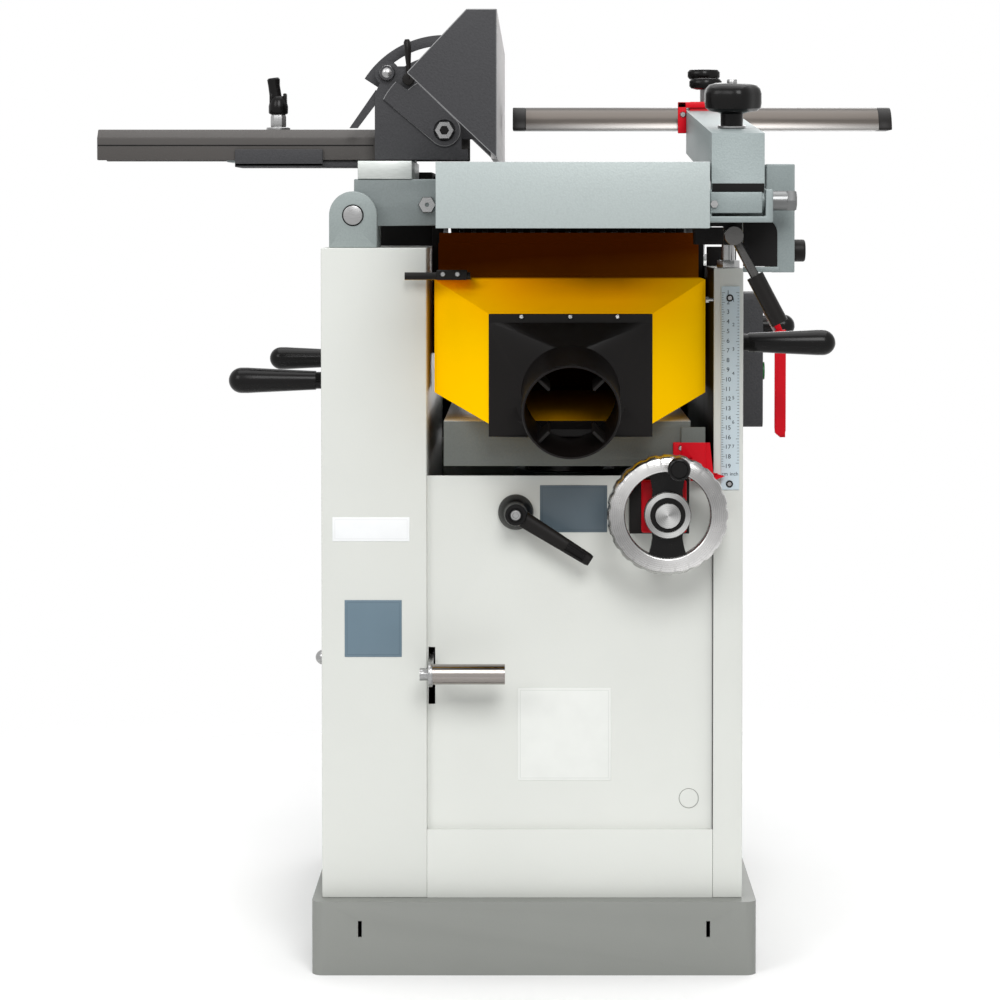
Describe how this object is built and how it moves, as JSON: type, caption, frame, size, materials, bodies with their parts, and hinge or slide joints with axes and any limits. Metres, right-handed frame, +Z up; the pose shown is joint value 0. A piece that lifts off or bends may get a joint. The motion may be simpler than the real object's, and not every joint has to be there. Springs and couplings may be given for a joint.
{
  "type": "combination planer thicknesser",
  "caption": "Cabinet-stand woodworking planer thicknesser with lifting cast tables, tilting fence, bridge guard, yellow chip hood and handwheel-raised thicknessing table.",
  "frame": {"origin": "centre of the plinth's underside, on the floor", "axes": "+X towards the operator's side, +Y along the tables towards the infeed end, +Z up"},
  "size_m": [0.871, 1.08, 0.992],
  "materials": {
    "plinth_grey": "semi-gloss powder coat",
    "cabinet_white": "fine textured powder coat",
    "hammer_grey": "hammertone paint with a ground top",
    "casting_grey": "painted casting",
    "charcoal": "textured powder coat",
    "bar_grey": "satin paint",
    "fence_metal": "satin extrusion",
    "rail_pale": "milled",
    "hood_yellow": "gloss powder coat",
    "black_plastic": "moulded",
    "red_plastic": "moulded",
    "green_plastic": "moulded",
    "bright_steel": "turned",
    "polished_alu": "polished",
    "chrome": "plated",
    "scale_white": "printed sheet",
    "roller_rubber": "matte",
    "belt_rubber": "matte",
    "motor_grey": "satin paint"
  },
  "bodies": {
    "frame": {"plinth": "plinth_grey", "left_column": "cabinet_white", "right_column": "cabinet_white", "front_panel": "cabinet_white", "rear_panel": "cabinet_white", "hinge_lugs": "casting_grey", "hinge_pins": "bright_steel", "lifting_handles": "black_plastic", "belt_cover": "charcoal", "left_head_plate": "casting_grey", "right_head_plate": "casting_grey", "cutter_bearings": "bright_steel", "motor": "motor_grey", "drive_belt": "belt_rubber", "pillar_housing": "casting_grey", "scale_plate": "scale_white", "stop_bolts": "bright_steel", "switch_box": "black_plastic", "wheel_bracket": "black_plastic", "finger_rod": "bright_steel"},
    "outfeed": {"outfeed_table": "hammer_grey", "outfeed_arm": "casting_grey", "fence_rail": "rail_pale", "fence_base": "charcoal", "guard_mount": "casting_grey", "guard_pivot": "bright_steel"},
    "infeed_swing": {"infeed_arm": "casting_grey"},
    "infeed": {"infeed_table": "hammer_grey"},
    "fence_carriage": {"fence_bar": "bar_grey", "tilt_bracket": "charcoal"},
    "fence": {"fence_plate": "fence_metal", "fence_ends": "charcoal", "fence_quadrant": "charcoal"},
    "fence_clamp": {"fence_clamp": "black_plastic"},
    "tilt_lever": {"tilt_lever": "black_plastic"},
    "guard_arm": {"guard_arm": "casting_grey", "guard_clip": "red_plastic"},
    "guard_bar": {"guard_bar": "fence_metal", "guard_caps": "black_plastic"},
    "guard_knob": {"guard_knob": "black_plastic"},
    "clip_knob_front": {"clip_knob_front": "black_plastic"},
    "clip_knob_rear": {"clip_knob_rear": "black_plastic"},
    "outfeed_lock": {"outfeed_lock": "black_plastic"},
    "infeed_lock": {"infeed_lock": "black_plastic"},
    "thicknesser": {"thicknesser_table": "casting_grey", "table_pillar": "bright_steel"},
    "lead_screw": {"lead_screw": "bright_steel"},
    "handwheel": {"handwheel": "polished_alu"},
    "crank_knob": {"crank_knob": "black_plastic"},
    "thickness_lock": {"thickness_lock": "black_plastic"},
    "feed_lever": {"feed_lever": "chrome"},
    "hood": {"dust_hood": "hood_yellow", "dust_port": "black_plastic"},
    "cutterblock": {"cutterblock": "bright_steel"},
    "motor_rotor": {"motor_rotor": "bright_steel"},
    "infeed_roller": {"infeed_roller": "roller_rubber"},
    "outfeed_roller": {"outfeed_roller": "roller_rubber"},
    "kickback_fingers": {"kickback_fingers": "bright_steel"},
    "stop_flap": {"stop_flap": "red_plastic"},
    "start_button": {"start_button": "green_plastic"}
  },
  "joints": [
    {"name": "outfeed_lift", "type": "hinge", "parent": "frame", "child": "outfeed", "pos_m": [-0.189, 0, 0.792], "axis": [0, -1, 0], "range_deg": [0, 85]},
    {"name": "infeed_lift", "type": "hinge", "parent": "frame", "child": "infeed_swing", "pos_m": [-0.189, 0, 0.792], "axis": [0, -1, 0], "range_deg": [0, 85]},
    {"name": "depth_of_cut", "type": "slide", "parent": "infeed_swing", "child": "infeed", "axis": [0, 0, 1], "range_m": [-0.004, 0]},
    {"name": "fence_slide", "type": "slide", "parent": "outfeed", "child": "fence_carriage", "axis": [1, 0, 0], "range_m": [-0.055, 0]},
    {"name": "fence_tilt", "type": "hinge", "parent": "fence_carriage", "child": "fence", "pos_m": [-0.095, -0.2, 0.882], "axis": [0, -1, 0], "range_deg": [0, 45]},
    {"name": "fence_clamp_turn", "type": "hinge", "parent": "outfeed", "child": "fence_clamp", "pos_m": [-0.277, -0.15, 0.9], "axis": [0, 0, 1], "range_deg": [-60, 60]},
    {"name": "tilt_lever_turn", "type": "hinge", "parent": "fence_carriage", "child": "tilt_lever", "pos_m": [-0.13286, -0.2245, 0.93606], "axis": [0, -1, 0], "range_deg": [-10, 25]},
    {"name": "guard_arm_lift", "type": "hinge", "parent": "outfeed", "child": "guard_arm", "pos_m": [0.1965, -0.505, 0.806], "axis": [1, 0, 0], "range_deg": [-3, 6]},
    {"name": "guard_slide", "type": "slide", "parent": "guard_arm", "child": "guard_bar", "axis": [1, 0, 0], "range_m": [0, 0.2]},
    {"name": "guard_knob_turn", "type": "hinge", "parent": "guard_arm", "child": "guard_knob", "pos_m": [0.1965, -0.42, 0.8786], "axis": [0, -0.0793, 0.9968], "continuous": true},
    {"name": "clip_knob_front_turn", "type": "hinge", "parent": "guard_arm", "child": "clip_knob_front", "pos_m": [0.1935, -0.018, 0.92], "axis": [0, 0, 1], "continuous": true},
    {"name": "clip_knob_rear_turn", "type": "hinge", "parent": "guard_arm", "child": "clip_knob_rear", "pos_m": [0.1935, 0.018, 0.92], "axis": [0, 0, 1], "continuous": true},
    {"name": "outfeed_lock_turn", "type": "hinge", "parent": "outfeed", "child": "outfeed_lock", "pos_m": [0.194, -0.49, 0.772], "axis": [0, -1, 0], "range_deg": [0, 55]},
    {"name": "infeed_lock_turn", "type": "hinge", "parent": "infeed", "child": "infeed_lock", "pos_m": [0.194, 0.49, 0.772], "axis": [0, -1, 0], "range_deg": [0, 55]},
    {"name": "table_rise", "type": "slide", "parent": "frame", "child": "thicknesser", "axis": [0, 0, 1], "range_m": [-0.008, 0.015]},
    {"name": "lead_screw_turn", "type": "hinge", "parent": "frame", "child": "lead_screw", "pos_m": [0.137, -0.04, 0.4], "axis": [0, 0, 1], "range_deg": [-730, 1360]},
    {"name": "handwheel_turn", "type": "hinge", "parent": "frame", "child": "handwheel", "pos_m": [0.137, -0.3, 0.485], "axis": [0, 1, 0], "range_deg": [-730, 1360]},
    {"name": "crank_knob_spin", "type": "hinge", "parent": "handwheel", "child": "crank_knob", "pos_m": [0.14673, -0.366, 0.53506], "axis": [0, 1, 0], "continuous": true},
    {"name": "thickness_lock_turn", "type": "hinge", "parent": "frame", "child": "thickness_lock", "pos_m": [-0.019, -0.29, 0.482], "axis": [0, 1, 0], "range_deg": [0, 75]},
    {"name": "feed_lever_turn", "type": "hinge", "parent": "frame", "child": "feed_lever", "pos_m": [-0.107, -0.215, 0.318], "axis": [1, 0, 0], "range_deg": [0, 14]},
    {"name": "hood_swing", "type": "hinge", "parent": "frame", "child": "hood", "pos_m": [0.0375, -0.075, 0.68], "axis": [-1, 0, 0], "range_deg": [0, 5]},
    {"name": "cutterblock_spin", "type": "hinge", "parent": "frame", "child": "cutterblock", "pos_m": [0.037, 0, 0.808], "axis": [1, 0, 0], "continuous": true},
    {"name": "motor_spin", "type": "hinge", "parent": "frame", "child": "motor_rotor", "pos_m": [-0.12, 0.17, 0.205], "axis": [1, 0, 0], "continuous": true},
    {"name": "infeed_roller_spin", "type": "hinge", "parent": "frame", "child": "infeed_roller", "pos_m": [0.037, -0.075, 0.792], "axis": [1, 0, 0], "continuous": true},
    {"name": "outfeed_roller_spin", "type": "hinge", "parent": "frame", "child": "outfeed_roller", "pos_m": [0.037, 0.075, 0.792], "axis": [1, 0, 0], "continuous": true},
    {"name": "finger_swing", "type": "hinge", "parent": "frame", "child": "kickback_fingers", "pos_m": [0.037, -0.112, 0.792], "axis": [1, 0, 0], "range_deg": [0, 20]},
    {"name": "flap_lift", "type": "hinge", "parent": "frame", "child": "stop_flap", "pos_m": [0.262, -0.01, 0.693], "axis": [0, -1, 0], "range_deg": [0, 75]},
    {"name": "start_press", "type": "slide", "parent": "frame", "child": "start_button", "axis": [-1, 0, 0], "range_m": [0, 0.003], "stiffness_N_per_m": 800}
  ],
  "couplings": [
    {"joint": "infeed_lift", "follows": "outfeed_lift", "ratio": 1},
    {"joint": "lead_screw_turn", "follows": "table_rise", "rad_per_m": 1570.8},
    {"joint": "handwheel_turn", "follows": "table_rise", "rad_per_m": 1570.8},
    {"joint": "motor_spin", "follows": "cutterblock_spin", "ratio": 0.52381},
    {"joint": "infeed_roller_spin", "follows": "cutterblock_spin", "ratio": -0.03},
    {"joint": "outfeed_roller_spin", "follows": "cutterblock_spin", "ratio": -0.03}
  ]
}
